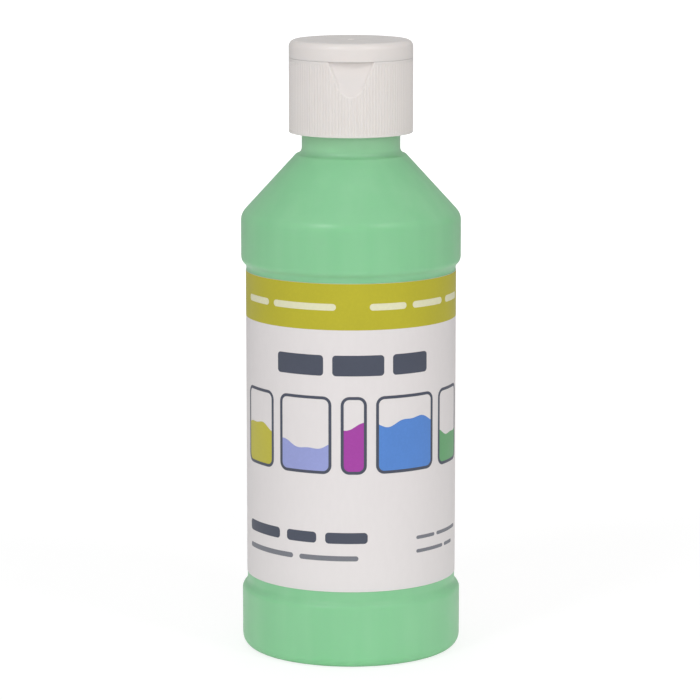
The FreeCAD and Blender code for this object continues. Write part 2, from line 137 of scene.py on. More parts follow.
# paint
FILL_GAP = 0.06 * MM
FILL_DROP = 1.0 * MM
MENISCUS_WIDTH = 1.6 * MM
MENISCUS_HEIGHT = 0.9 * MM

# screw thread
PITCH = 25.4 * MM / 6
THREAD_TURNS = 1.5
THREAD_START = LAND - 9.2 * MM
THREAD_RISE = 1.2 * MM
THREAD_CREST = 0.5 * MM
THREAD_FOOT = 1.15 * MM
THREAD_FADE = math.radians(24)

# cap
SKIRT_BORE = 14.2 * MM
SPLIT_GAP = 0.04 * MM
SPLIT = HINGE.z - SPLIT_GAP / 2
DECK_LOW = LINER_HIGH + 0.05 * MM
DECK = DECK_LOW + 1.6 * MM
CATCH_OUTER = 14.1 * MM
CATCH_INNER = 13.0 * MM
NOZZLE_FOOT = 3.9 * MM
NOZZLE_RADIUS = 3.3 * MM
NOZZLE_TOP = DECK + 3.0 * MM
ORIFICE = 1.6 * MM
EDGE = 0.4 * MM
RIB_COUNT = 120
RIB_DEPTH = 0.13 * MM
RIB_WIDTH = 0.56 * MM
RIB_LOW = CAP_LOW + 0.6 * MM
RIB_HIGH = SPLIT - 0.55 * MM
SCOOP_LOW = SPLIT - 8.8 * MM
SCOOP_EDGE_DEPTH = 0.35 * MM
SCOOP_DEPTH = 1.75 * MM
SCOOP_HALF_WIDTH = 6.2 * MM
SCOOP_NOSE = 3.3 * MM
SCOOP_WALL = 0.38 * MM
SCOOP_LEAN = math.atan2(SCOOP_DEPTH - SCOOP_EDGE_DEPTH, SPLIT - SCOOP_LOW)
SCOOP_TOP = (CATCH_TOP + EDGE - SCOOP_LOW) / math.cos(SCOOP_LEAN)

# lid
LID_LOW = HINGE.z + SPLIT_GAP / 2
LID_ROOF = LID_TOP - 1.3 * MM
LID_BORE = 14.3 * MM
LID_ROUNDING = 1.7 * MM
COLLAR_OUTER = 4.95 * MM
COLLAR_INNER = 4.2 * MM
COLLAR_LOW = SPUD_LOW + 0.9 * MM
SPUD_RADIUS = 1.35 * MM
SPUD_TIP = 0.95 * MM
SPUD_TAPER = 0.9 * MM
GATE_RADIUS = 0.9 * MM
GATE_FLOOR = 0.63 * MM
GATE_DEPTH = 0.15 * MM

# liner
LINER_BORE = 8.6 * MM
LINER_ROUNDING = 0.25 * MM

# hinge strap and its seats
SEAT = HINGE.y - 0.5 * MM
SEAT_HALF_WIDTH = 4.6 * MM
SEAT_LENGTH = 1.65 * MM
WEB = 0.3 * MM
WEB_HALF_HEIGHT = 0.45 * MM
STRAP_CORNER = 0.35 * MM

# label
FILM = 0.13 * MM
OVERLAP_HALF = math.radians(8.5)
OVERLAP_RAMP = math.radians(3.0)
OVERLAP_STEP = math.radians(0.25)
INK = 0.02 * MM
LINE_INK = 0.035 * MM
INK_ROOT = FILM / 4
BAND_LOW = LABEL_HIGH - 11.65 * MM
BAND_HIGH = LABEL_HIGH - 0.05 * MM

# how finely the meshes are cut: sides of each turned piece, spacing of its rows, and
# the stretches of finer sides at the seam, the overlap and the scoop
BOTTLE_SIDES = 200
PAINT_SIDES = 192
LID_SIDES = 480
LINER_SIDES = 160
FILM_SIDES = 240
WALL_ROWS = 4 * MM
NECK_ROWS = 0.22 * MM
FILL_ROWS = 3 * MM
SKIRT_ROWS = 2 * MM
SCOOP_ROWS = 0.24 * MM
BORE_ROWS = 0.35 * MM
DECK_ROWS = 1.5 * MM
SEAT_ROWS = 0.15 * MM
LINER_ROWS = 1 * MM
FILM_ROWS = 3 * MM
RIB_SAMPLES = 4
RIB_FINE_SAMPLES = 6
SCOOP_PITCHES = 9
SEAM_REACH = math.radians(6)
SEAM_STEP = math.radians(0.375)
OVERLAP_REACH = math.radians(1)
OVERLAP_FINE = math.radians(0.125)

# studio, in metres and degrees
TABLE_RADIUS = 0.42
FLOOR_RADIUS = 8.0
GLOW_START = 0.12
GLOW_END = 0.6
WORLD_STRENGTH = 0.46
CAMERA_DISTANCE = 0.88
CAMERA_HEIGHT = 0.2265
CAMERA_TILT = 9.66
WHITE = (1.0, 1.0, 1.0)

# lamps: name, azimuth, elevation, distance, (width, height), power in watts, colour,
# and whether reflections show it
LAMPS = [
    ("key_left", -34, 44, 1.1, (0.17, 0.28), 2.1, (0.97, 0.985, 1.0), True),
    ("key_right", 42, 46, 1.1, (0.14, 0.24), 1.4, (1.0, 0.975, 0.94), True),
    ("overhead", 0, 88, 2.2, (1.6, 1.6), 3.4, WHITE, True),
    ("fill_front", 4, 14, 1.6, (0.9, 0.7), 6.3, WHITE, False),
    ("fill_back", 180, 14, 1.6, (0.9, 0.7), 3.6, WHITE, False),
]


# ---------------------------------------------------------------- sections and lathes


def rounded(corners, closed=False, steps=7):
    """Points of a section from its (radius, height, rounding) corners."""
    points = []
    count = len(corners)
    for number, (radius, height, rounding) in enumerate(corners):
        here = Vector((radius, height))
        at_end = not closed and number in (0, count - 1)
        if rounding < TINY or at_end:
            points.append(here)
            continue
        before = Vector(corners[number - 1][:2]) - here
        after = Vector(corners[(number + 1) % count][:2]) - here
        before.normalize()
        after.normalize()
        half = before.angle(after) / 2
        centre = here + (before + after).normalized() * (rounding / math.sin(half))
        start = here + before * (rounding / math.tan(half)) - centre
        end = here + after * (rounding / math.tan(half)) - centre
        begin = math.atan2(start.y, start.x)
        sweep = math.atan2(start.x * end.y - start.y * end.x, start.dot(end))
        for step in range(steps + 1):
            angle = begin + sweep * step / steps
            arm = Vector((math.cos(angle), math.sin(angle))) * rounding
            points.append(centre + arm)
    return points


def refined(points, spacing, closed=False):
    """The section with its straight runs cut to at most spacing(radius, height)."""
    result = []
    ends = points[1:] + points[:1] if closed else points[1:]
    for start, end in zip(points, ends):
        result.append(start)
        middle = (start + end) / 2
        length = (end - start).length
        pieces = max(1, math.ceil(length / spacing(middle.x, middle.y)))
        for piece in range(1, pieces):
            result.append(start.lerp(end, piece / pieces))
    if not closed:
        result.append(points[-1])
    return result


def every(length):
    """A spacing for refined that is the same everywhere."""
    return lambda radius, height: length


def smooth(share):
    """Eases a share from 0 to 1, and holds it there outside that."""
    share = min(1.0, max(0.0, share))
    return share * share * (3 - 2 * share)


def even_angles(count):
    """Angles evenly spaced round a full turn."""
    return [TURN * number / count for number in range(count)]


def with_fine_angles(angles, centres, half, step):
    """The angles, with a finely spaced stretch in place of them round each centre."""
    result = []
    for angle in angles:
        gaps = [abs((angle - centre + math.pi) % TURN - math.pi) for centre in centres]
        if min(gaps) > half:
            result.append(angle)
    for centre in centres:
        for number in range(round(2 * half / step) + 1):
            result.append((centre - half + step * number) % TURN)
    return sorted(result)


def lathe(mesh, points, angles, closed=False, moved=None):
    """Adds a section turned about Z, out of round by moved(angle, radius, height)."""
    rings = []
    for point in points:
        if point.x < TINY:
            height = moved(0.0, 0.0, point.y)[1] if moved else point.y
            rings.append([mesh.verts.new((0, 0, height))])
            continue
        ring = []
        for angle in angles:
            radius, height = point
            if moved:
                radius, height = moved(angle, radius, height)
            place = (radius * math.cos(angle), radius * math.sin(angle), height)
            ring.append(mesh.verts.new(place))
        rings.append(ring)
    following = rings[1:] + rings[:1] if closed else rings[1:]
    for low, high in zip(rings, following):
        join_rings(mesh, low, high)


def join_rings(mesh, low, high):
    """Faces between two rings of vertices, either of which may be a single point."""
    count = max(len(low), len(high))
    for number in range(count):
        after = (number + 1) % count
        if len(low) == 1:
            mesh.faces.new((low[0], high[after], high[number]))
        elif len(high) == 1:
            mesh.faces.new((low[number], low[after], high[0]))
        else:
            mesh.faces.new((low[number], low[after], high[after], high[number]))


def finished(name, mesh, crease=40):
    """A smooth-shaded object of the mesh, sharp at edges of over crease degrees."""
    bmesh.ops.remove_doubles(mesh, verts=mesh.verts[:], dist=MERGE)
    bmesh.ops.dissolve_degenerate(mesh, edges=mesh.edges[:], dist=MERGE)
    bmesh.ops.recalc_face_normals(mesh, faces=mesh.faces[:])
    data = bpy.data.meshes.new(name)
    mesh.to_mesh(data)
    mesh.free()
    data.shade_smooth()
    data.set_sharp_from_angle(angle=math.radians(crease))
    piece = bpy.data.objects.new(name, data)
    bpy.context.scene.collection.objects.link(piece)
    return piece


# ---------------------------------------------------------------- screw threads


def thread_height(angle, height, middle):
    """How far a thread stands out here, from 0 to 1. At angle 0 it starts at middle."""
    best = 0.0
    for lap in range(math.ceil(THREAD_TURNS)):
        along = angle + lap * TURN
        if along > THREAD_TURNS * TURN:
            continue
        away = abs(height - middle - PITCH * along / TURN)
        flank = (THREAD_FOOT - away) / (THREAD_FOOT - THREAD_CREST)
        from_end = min(along, THREAD_TURNS * TURN - along)
        best = max(best, min(1.0, max(0.0, flank)) * smooth(from_end / THREAD_FADE))
    return best


# ---------------------------------------------------------------- bottle


def cone_height(radius, inward):
    """Height of the shoulder cone at a radius, set back square to itself by inward."""
    slope = (LEDGE - SHOULDER) / (BODY_RADIUS - LEDGE_RADIUS)
    outside = SHOULDER + (BODY_RADIUS - radius) * slope
    return outside - inward * math.hypot(1, slope)


def bottle_section():
    """Section of the blown shell, from the middle of the base round to the inside."""
    inside = BODY_RADIUS - WALL
    inside_panel = PANEL_RADIUS - WALL
    corners = [
        (0, PUSH_UP, 0),
        (RECESS_RADIUS, PUSH_UP_EDGE, RING_ROUNDING),
        (RING_RADIUS, 0, RING_ROUNDING),
        (BODY_RADIUS, 0, HEEL_ROUNDING),
        (BODY_RADIUS, LOWER_STEP, STEP_ROUNDING),
        (PANEL_RADIUS, LOWER_STEP + LOWER_STEP_HEIGHT, STEP_ROUNDING),
        (PANEL_RADIUS, UPPER_STEP, STEP_ROUNDING),
        (BODY_RADIUS, UPPER_STEP + UPPER_STEP_HEIGHT, STEP_ROUNDING),
        (BODY_RADIUS, SHOULDER, SHOULDER_ROUNDING),
        (LEDGE_RADIUS, LEDGE, LEDGE_ROUNDING),
        (NECK_RADIUS, NECK_START, NECK_FILLET),
        (NECK_RADIUS, LAND, EDGE),
        (NECK_BORE, LAND, EDGE),
        (NECK_BORE, cone_height(NECK_BORE, WALL), INNER_NECK_ROUNDING),
        (inside, cone_height(inside, WALL), SHOULDER_ROUNDING - WALL),
        (inside, UPPER_STEP + UPPER_STEP_HEIGHT, INNER_STEP_ROUNDING),
        (inside_panel, UPPER_STEP, INNER_STEP_ROUNDING),
        (inside_panel, LOWER_STEP + LOWER_STEP_HEIGHT, INNER_STEP_ROUNDING),
        (inside, LOWER_STEP, INNER_STEP_ROUNDING),
        (inside, FLOOR_WALL, HEEL_ROUNDING - WALL),
        (RING_RADIUS, FLOOR_WALL, RING_ROUNDING),
        (RECESS_RADIUS, PUSH_UP_EDGE + FLOOR_WALL, RING_ROUNDING),
        (0, PUSH_UP + FLOOR_WALL, 0),
    ]
    return rounded(corners, steps=8)


def bottle_spacing(radius, height):
    """Rows are close together over the thread and wide apart on the plain walls."""
    on_thread = abs(radius - NECK_RADIUS) < MM and height > THREAD_START - 2 * MM
    return NECK_ROWS if on_thread else WALL_ROWS


def parting_line(angle, radius, height):
    """The mould's seam: a ridge up both sides, and a pinched line under the base."""
    across = abs(radius * math.sin(angle))
    if radius < RECESS_RADIUS and height < PINCH_HIGH:
        groove = math.exp(-((across / PINCH_WIDTH) ** 2))
        return radius, height - PINCH_DEPTH * groove
    on_side = radius > PANEL_RADIUS - 2 * ON_WALL
    on_shoulder = (
        height > SHOULDER + 2 * MM
        and radius > LEDGE_RADIUS - 2 * ON_WALL
        and height > cone_height(radius, WALL / 2)
    )
    if height > MM and (on_side or on_shoulder):
        ridge = math.exp(-((across / SEAM_WIDTH) ** 2))
        return radius + SEAM_HEIGHT * ridge, height
    return radius, height


def shaped_bottle(angle, radius, height):
    """The thread on the outside of the neck, and the parting line elsewhere."""
    if abs(radius - NECK_RADIUS) < ON_WALL and height < LAND - EDGE:
        rise = THREAD_RISE * thread_height(angle, height, THREAD_START)
        return radius + rise, height
    return parting_line(angle, radius, height)


def make_bottle():
    """The hollow shell, with its thread and parting line."""
    mesh = bmesh.new()
    around = even_angles(BOTTLE_SIDES)
    angles = with_fine_angles(around, [0.0, math.pi], SEAM_REACH, SEAM_STEP)
    section = refined(bottle_section(), bottle_spacing)
    lathe(mesh, section, angles, moved=shaped_bottle)
    return finished("bottle_shell", mesh)


def make_paint():
    """The paint: it follows the inside of the shell, and climbs it a little on top."""
    inset = WALL + FILL_GAP
    inside = BODY_RADIUS - inset
    inside_panel = PANEL_RADIUS - inset
    neck = NECK_BORE - FILL_GAP
    floor = FLOOR_WALL + FILL_GAP
    corners = [
        (0, PUSH_UP + floor, 0),
        (RECESS_RADIUS, PUSH_UP_EDGE + floor, RING_ROUNDING),
        (RING_RADIUS, floor, RING_ROUNDING),
        (inside, floor, HEEL_ROUNDING - inset),
        (inside, LOWER_STEP, INNER_STEP_ROUNDING),
        (inside_panel, LOWER_STEP + LOWER_STEP_HEIGHT, INNER_STEP_ROUNDING),
        (inside_panel, UPPER_STEP, INNER_STEP_ROUNDING),
        (inside, UPPER_STEP + UPPER_STEP_HEIGHT, INNER_STEP_ROUNDING),
        (inside, cone_height(inside, inset), SHOULDER_ROUNDING - inset),
        (neck, cone_height(neck, inset), INNER_NECK_ROUNDING),
        (neck, FILL_TOP, 0.1 * MM),
        (neck - MENISCUS_WIDTH, FILL_TOP - MENISCUS_HEIGHT, 1.2 * MM),
        (0, FILL_TOP - FILL_DROP, 0),
    ]
    mesh = bmesh.new()
    section = refined(rounded(corners, steps=8), every(FILL_ROWS))
    lathe(mesh, section, even_angles(PAINT_SIDES))
    return finished("paint_fill", mesh)


# ---------------------------------------------------------------- cap


def rib_groove(angle):
    """Depth of the grip grooves at an angle."""
    pitch = TURN * CAP_RADIUS / RIB_COUNT
    phase = (angle * RIB_COUNT / TURN + 0.5) % 1 - 0.5
    return RIB_DEPTH * max(0.0, 1 - abs(phase) * pitch / (RIB_WIDTH / 2))


def scoop_share(across, up):
    """1 on the floor of the thumb scoop and 0 outside it, with a soft wall between.

    across and up are measured on the leaning floor, from the tip of its round nose.
    """
    from_nose = up - SCOOP_NOSE
    top = SCOOP_TOP - SCOOP_NOSE
    reach = math.hypot(SCOOP_HALF_WIDTH, top)
    meet = math.atan2(top, SCOOP_HALF_WIDTH) - math.acos(SCOOP_NOSE / reach)
    if math.atan2(from_nose, abs(across)) < meet:
        outside = math.hypot(across, from_nose) - SCOOP_NOSE
    else:
        outside = abs(across) * math.cos(meet) + from_nose * math.sin(meet) - SCOOP_NOSE
    return smooth(-outside / SCOOP_WALL)


def scooped(angle, radius, height):
    """The radius left by the thumb scoop, a leaning flat at the front."""
    if height < SCOOP_LOW or math.sin(angle) > -0.5:
        return radius
    up = height - SCOOP_LOW
    depth = SCOOP_EDGE_DEPTH + up * math.tan(SCOOP_LEAN)
    floor = (depth - CAP_RADIUS) / math.sin(angle)
    share = scoop_share(floor * math.cos(angle), up / math.cos(SCOOP_LEAN))
    return radius + (min(radius, floor) - radius) * share


def seated(angle, radius, height, low, high):
    """The radius left by the flat seat of the hinge strap between two heights."""
    if math.sin(angle) < 0.5 or not low < height < high:
        return radius
    if abs(radius * math.cos(angle)) > SEAT_HALF_WIDTH:
        return radius
    return min(radius, SEAT / math.sin(angle))


def shaped_cap(angle, radius, height):
    """Ribs, scoop and hinge seat outside the skirt, and the thread inside it."""
    seat_low = HINGE.z - SEAT_LENGTH
    if radius > CAP_RADIUS - EDGE:
        outside = radius
        if RIB_LOW < height < RIB_HIGH:
            outside = radius - rib_groove(angle)
        outside = min(outside, scooped(angle, radius, height))
        return seated(angle, outside, height, seat_low, HINGE.z), height
    if radius > CATCH_INNER and height > SPLIT - EDGE:
        outside = scooped(angle, radius, height)
        return seated(angle, outside, height, seat_low, HINGE.z), height
    if abs(radius - SKIRT_BORE) < ON_WALL / 2 and height < DECK_LOW - EDGE:
        rise = THREAD_RISE * thread_height(angle, height, THREAD_START - PITCH / 2)
        return radius - rise, height
    return radius, height


def cap_spacing(radius, height):
    """Rows are close together where the scoop, the thread and the rib ends are."""
    if radius > CAP_RADIUS - MM:
        near_rib_end = abs(height - RIB_LOW) < 0.5 * MM
        return SCOOP_ROWS if height > SCOOP_LOW - MM or near_rib_end else SKIRT_ROWS
    if abs(radius - SKIRT_BORE) < ON_WALL and height < DECK_LOW:
        return BORE_ROWS
    return DECK_ROWS


def make_cap_base():
    """The lower cap: skirt, deck, nozzle, and the ring that the lid snaps over."""
    small = EDGE / 2
    corners = [
        (SKIRT_BORE, CAP_LOW, small),
        (CAP_RADIUS, CAP_LOW, small),
        (CAP_RADIUS, RIB_LOW + 0.3 * MM, 0),
        (CAP_RADIUS, SPLIT, 0.05 * MM),
        (CATCH_OUTER, SPLIT, 0.1 * MM),
        (CATCH_OUTER, CATCH_TOP, 0.35 * MM),
        (CATCH_INNER, CATCH_TOP, 0.35 * MM),
        (CATCH_INNER, DECK, EDGE),
        (NOZZLE_FOOT, DECK, EDGE),
        (NOZZLE_RADIUS, NOZZLE_TOP, EDGE),
        (ORIFICE, NOZZLE_TOP, EDGE),
        (ORIFICE, DECK_LOW, small),
        (SKIRT_BORE, DECK_LOW, small),
    ]
    section = refined(rounded(corners, closed=True, steps=3), cap_spacing, closed=True)
    mesh = bmesh.new()
    around = even_angles(RIB_COUNT * RIB_SAMPLES)
    reach = SCOOP_PITCHES * TURN / RIB_COUNT
    fine = TURN / (RIB_COUNT * RIB_FINE_SAMPLES)
    angles = with_fine_angles(around, [FRONT], reach, fine)
    lathe(mesh, section, angles, closed=True, moved=shaped_cap)
    return finished("cap_base_shell", mesh)


def shaped_lid(angle, radius, height):
    """The flat seat of the hinge strap, at the back of the lid."""
    if radius > CAP_RADIUS - LID_ROUNDING:
        high = HINGE.z + SEAT_LENGTH
        return seated(angle, radius, height, LID_LOW - EDGE, high), height
    return radius, height


def make_flip_lid():
    """The lid: a shallow cup with a plug and a collar under its roof."""
    corners = [
        (0, SPUD_LOW, 0),
        (SPUD_TIP, SPUD_LOW, 0.3 * MM),
        (SPUD_RADIUS, SPUD_LOW + SPUD_TAPER, 0.5 * MM),
        (SPUD_RADIUS, LID_ROOF, 0.3 * MM),
        (COLLAR_INNER, LID_ROOF, 0.3 * MM),
        (COLLAR_INNER, COLLAR_LOW, 0.2 * MM),
        (COLLAR_OUTER, COLLAR_LOW, 0.2 * MM),
        (COLLAR_OUTER, LID_ROOF, 0.3 * MM),
        (LID_BORE, LID_ROOF, 0.6 * MM),
        (LID_BORE, LID_LOW, 0.15 * MM),
        (CAP_RADIUS, LID_LOW, 0.07 * MM),
        (CAP_RADIUS, LID_TOP, LID_ROUNDING),
        (GATE_RADIUS, LID_TOP, 0.1 * MM),
        (GATE_FLOOR, LID_TOP - GATE_DEPTH, 0.1 * MM),
        (0, LID_TOP - GATE_DEPTH, 0),
    ]

    def spacing(radius, height):
        near_seat = radius > CAP_RADIUS - MM and height < HINGE.z + 2 * SEAT_LENGTH
        return SEAT_ROWS if near_seat else DECK_ROWS

    mesh = bmesh.new()
    section = refined(rounded(corners, steps=7), spacing)
    lathe(mesh, section, even_angles(LID_SIDES), moved=shaped_lid)
    return finished("flip_lid_shell", mesh)


def make_liner():
    """The foam ring that seals the cap on the neck."""
    corners = [
        (LINER_BORE, LINER_LOW, LINER_ROUNDING),
        (LINER_RADIUS, LINER_LOW, LINER_ROUNDING),
        (LINER_RADIUS, LINER_HIGH, LINER_ROUNDING),
        (LINER_BORE, LINER_HIGH, LINER_ROUNDING),
    ]
    mesh = bmesh.new()
    outline = rounded(corners, closed=True, steps=5)
    section = refined(outline, every(LINER_ROWS), closed=True)
    lathe(mesh, section, even_angles(LINER_SIDES), closed=True)
    return finished("liner_ring", mesh)


def corner_tuck(inside, corner):
    """How far a rounded corner is cut back at a distance inside its edge."""
    rest = max(0.0, corner - inside)
    return corner - math.sqrt(max(0.0, corner**2 - rest**2))


def make_hinge_strap():
    """The strap behind the split: two flat leaves, and a thin web at the hinge line,
    where the real strap folds.
    """
    low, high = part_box("hinge_film")
    half_width = (high[0] - low[0]) / 2
    front, back = low[1], high[1]
    rows = 28
    columns = 12
    mesh = bmesh.new()
    loops = []
    for row in range(rows + 1):
        share = row / rows
        height = low[2] + (high[2] - low[2]) * share
        from_bend = abs(height - HINGE.z)
        ease = smooth(2 * from_bend / WEB_HALF_HEIGHT - 1)
        inner = back - WEB - (back - front - WEB) * ease
        from_end = min(height - low[2], high[2] - height)
        half = half_width - corner_tuck(from_end, STRAP_CORNER)
        loop = []
        for column in range(columns + 1):
            across = -half + 2 * half * column / columns
            loop.append(mesh.verts.new((across, back, height)))
        for column in range(columns, -1, -1):
            across = -half + 2 * half * column / columns
            loop.append(mesh.verts.new((across, inner, height)))
        loops.append(loop)
    for low_loop, high_loop in zip(loops, loops[1:]):
        join_rings(mesh, low_loop, high_loop)
    for loop in (loops[0], loops[-1]):
        for column in range(columns):
            opposite = 2 * columns + 1 - column
            mesh.faces.new(
                (loop[column], loop[column + 1], loop[opposite - 1], loop[opposite])
            )
    return finished("hinge_strap", mesh)


# ---------------------------------------------------------------- label


def overlap(angle):
    """How far the outer end of the film lies on the inner one here, from 0 to 1."""
    from_back = (angle - BACK + math.pi) % TURN - math.pi
    up = (from_back + OVERLAP_HALF) / OVERLAP_RAMP
    down = (OVERLAP_HALF - from_back) / OVERLAP_STEP
    return max(0.0, min(1.0, up, down))


def label_angles():
    """Angles for the film, fine where its outer end stops."""
    around = even_angles(FILM_SIDES)
    return with_fine_angles(around, [BACK + OVERLAP_HALF], OVERLAP_REACH, OVERLAP_FINE)


def make_film():
    """The wrapped film, which laps over its own end at the back."""
    edge = 0.03 * MM
    inside = FILM_RADIUS - FILM
    corners = [
        (inside, LABEL_LOW, 0),
        (FILM_RADIUS, LABEL_LOW, edge),
        (FILM_RADIUS, LABEL_HIGH, edge),
        (inside, LABEL_HIGH, 0),
    ]
    outline = rounded(corners, closed=True, steps=3)
    section = refined(outline, every(FILM_ROWS), closed=True)

    def moved(angle, radius, height):
        thicker = FILM * overlap(angle) if radius > inside + TINY else 0.0
        return radius + thicker, height

    mesh = bmesh.new()
    lathe(mesh, section, label_angles(), closed=True, moved=moved)
    return finished("label_film", mesh)


def make_band():
    """The band of colour round the top of the label."""
    inside = FILM_RADIUS - INK_ROOT
    corners = [
        (inside, BAND_LOW, 0),
        (FILM_RADIUS + INK, BAND_LOW, 0),
        (FILM_RADIUS + INK, BAND_HIGH, 0),
        (inside, BAND_HIGH, 0),
    ]
    section = refined(rounded(corners, closed=True), every(FILM_ROWS), closed=True)

    def moved(angle, radius, height):
        return radius + FILM * overlap(angle), height

    mesh = bmesh.new()
    lathe(mesh, section, label_angles(), closed=True, moved=moved)
    return finished("label_band", mesh)


def on_label(along, height, ink):
    """The place at an arc length right of the front, a height, and ink off the film."""
    angle = along / FILM_RADIUS
    radius = FILM_RADIUS + ink + FILM * overlap(angle + FRONT)
    return (radius * math.sin(angle), -radius * math.cos(angle), height)


def arc_length(degrees):
    """Arc length on the film for an angle to the right of the front."""
    return math.radians(degrees) * FILM_RADIUS


def add_patch(mesh, stations, low, high, ink):
    """A thin closed patch between the heights low(along) and high(along)."""
    columns = []
    for along in stations:
        bottom, top = low(along), high(along)
        places = [(bottom, ink), (top, ink), (top, -INK_ROOT), (bottom, -INK_ROOT)]
        columns.append(
            [mesh.verts.new(on_label(along, height, out)) for height, out in places]
        )
    for left, right in zip(columns, columns[1:]):
        for number in range(4):
            after = (number + 1) % 4
            mesh.faces.new((left[number], left[after], right[after], right[number]))
    mesh.faces.new(columns[0])
    mesh.faces.new(list(reversed(columns[-1])))


def bar_stations(left, right, corner):
    """Stations along a bar: close in its rounded ends, 0.5 mm apart between them."""
    steps = 6
    turns = [math.pi / 2 * step / steps for step in range(steps)]
    start = [left + corner * (1 - math.cos(turn)) for turn in turns]
    end = [right - corner * (1 - math.cos(turn)) for turn in reversed(turns)]
    inner_left, inner_right = left + corner, right - corner
    count = max(1, math.ceil((inner_right - inner_left) / (0.5 * MM)))
    middle = [
        inner_left + (inner_right - inner_left) * number / count
        for number in range(count + 1)
    ]
    return start + middle + end


def corner_drop(along, left, right, corner):
    """How much shorter a rounded bar is at each end of its height here."""
    return corner_tuck(min(along - left, right - along), corner)


def add_bar(mesh, left, right, low, high, corner, ink=INK):
    """A bar with rounded corners, printed on the label. Its ends never quite meet."""
    widest = min(high - low, right - left) / 2.02
    corner = min(corner, widest)
    add_patch(
        mesh,
        bar_stations(left, right, corner),
        lambda along: low + corner_drop(along, left, right, corner),
        lambda along: high - corner_drop(along, left, right, corner),
        ink,
    )


def box_loop(left, right, low, high, corner):
    """Points round a rounded box, the same number for any size of box."""
    steps = 6
    sides = 24
    centres = [
        (right - corner, high - corner),
        (left + corner, high - corner),
        (left + corner, low + corner),
        (right - corner, low + corner),
    ]
    points = []
    for quarter, (across, up) in enumerate(centres):
        for step in range(steps + 1):
            angle = math.pi / 2 * (quarter + step / steps)
            points.append(
                (across + corner * math.cos(angle), up + corner * math.sin(angle))
            )
        last = points[-1]
        next_across, next_up = centres[(quarter + 1) % 4]
        begin = math.pi / 2 * (quarter + 1)
        target = (
            next_across + corner * math.cos(begin),
            next_up + corner * math.sin(begin),
        )
        for side in range(1, sides):
            share = side / sides
            points.append(
                (
                    last[0] + (target[0] - last[0]) * share,
                    last[1] + (target[1] - last[1]) * share,
                )
            )
    return points


def add_outline(mesh, left, right, low, high, corner, line):
    """A rounded box drawn as a line of constant width."""
    outer = box_loop(left, right, low, high, corner)
    inner = box_loop(left + line, right - line, low + line, high - line, corner - line)
    layers = [
        (outer, LINE_INK),
        (inner, LINE_INK),
        (inner, -INK_ROOT),
        (outer, -INK_ROOT),
    ]
    rings = [
        [mesh.verts.new(on_label(along, height, ink)) for along, height in loop]
        for loop, ink in layers
    ]
    for number in range(4):
        join_rings(mesh, rings[number], rings[(number + 1) % 4])


# five windows on the label: (left and right edge in degrees, level of the colour, ink)
WINDOWS = [
    (-73.0, -46.5, 0.52, "yellow"),
    (-41.5, -10.5, 0.36, "periwinkle"),
    (-5.5, 8.5, 0.62, "magenta"),
    (13.5, 50.0, 0.66, "blue"),
    (55.0, 80.0, 0.42, "green"),
]
WINDOW_LOW = 49.7 * MM
WINDOW_HIGH = 69.4 * MM
WINDOW_CORNER = 2.2 * MM
WINDOW_LINE = 0.75 * MM


def make_window_lines():
    """The outlines of the windows."""
    mesh = bmesh.new()
    for left, right, _, _ in WINDOWS:
        add_outline(
            mesh,
            arc_length(left),
            arc_length(right),
            WINDOW_LOW,
            WINDOW_HIGH,
            WINDOW_CORNER,
            WINDOW_LINE,
        )
    return finished("label_window_lines", mesh)


def make_window_fill(left, right, level, ink_name):
    """The colour in a window, up to a wavy level."""
    inset = WINDOW_LINE / 2
    start = arc_length(left) + inset
    end = arc_length(right) - inset
    low = WINDOW_LOW + inset
    corner = WINDOW_CORNER - inset
    surface = WINDOW_LOW + (WINDOW_HIGH - WINDOW_LOW) * level
    phase = math.radians(left) * 5
    long_wave, tall = 2.6 * MM, 0.9 * MM
    short_wave, low_wave = 1.1 * MM, 0.35 * MM

    def top(along):
        slow = math.sin(along / long_wave + phase)
        quick = math.sin(along / short_wave + 2 * phase)
        return surface + tall * slow + low_wave * quick

    def bottom(along):
        return low + corner_drop(along, start, end, corner)

    mesh = bmesh.new()
    add_patch(mesh, bar_stations(start, end, corner), bottom, top, INK)
    return finished(f"label_fill_{ink_name}", mesh)


# rows of plain bars that stand where lines of print would be:
# (height of the row's middle in mm, height of a bar in mm, [(left, right) in degrees])
BAND_BARS = (91.9, 1.7, [(-71, -50), (-46, -8), (10, 31), (35, 58), (62, 80)])
HEADLINE_BARS = (77.2, 5.2, [(-43, -15), (-10, 18), (23, 45)])
NOTE_BARS = (33.4, 2.8, [(-71, -42), (-37, -19), (-14, 9)])
NOTE_LINES = (28.2, 1.3, [(-71, -33), (-29, 4)])
BAR_CORNER = 0.9
SMALL_PRINT = [
    (32.4, 0.9, [(38, 52), (54, 78)]),
    (28.9, 0.9, [(38, 60), (62, 72)]),
]
BACK_PRINT = [
    (76.0 - 3.1 * row, 0.9, [(105, 158 - 7 * (row % 3))]) for row in range(9)
] + [(44.0 - 3.1 * row, 0.9, [(105, 150 - 9 * (row % 2))]) for row in range(4)]


def add_row(mesh, row, ink=INK):
    """Adds one row of bars."""
    middle, tall, spans = row
    for left, right in spans:
        add_bar(
            mesh,
            arc_length(left),
            arc_length(right),
            (middle - tall / 2) * MM,
            (middle + tall / 2) * MM,
            min(BAR_CORNER, tall / 2) * MM,
            ink,
        )


def make_rows(name, rows, ink=INK):
    """A piece made of rows of bars."""
    mesh = bmesh.new()
    for row in rows:
        add_row(mesh, row, ink)
    return finished(name, mesh)


def make_back_block():
    """A block of the paint's colour on the back of the label."""
    left, right = arc_length(-158), arc_length(-112)
    mesh = bmesh.new()
    add_bar(mesh, left, right, low=34 * MM, high=74 * MM, corner=2.5 * MM)
    return finished("label_back_block", mesh)


# ---------------------------------------------------------------- materials


# sockets of a Mix node that mixes colours
MIX_FIRST, MIX_SECOND, MIX_RESULT = 6, 7, 2


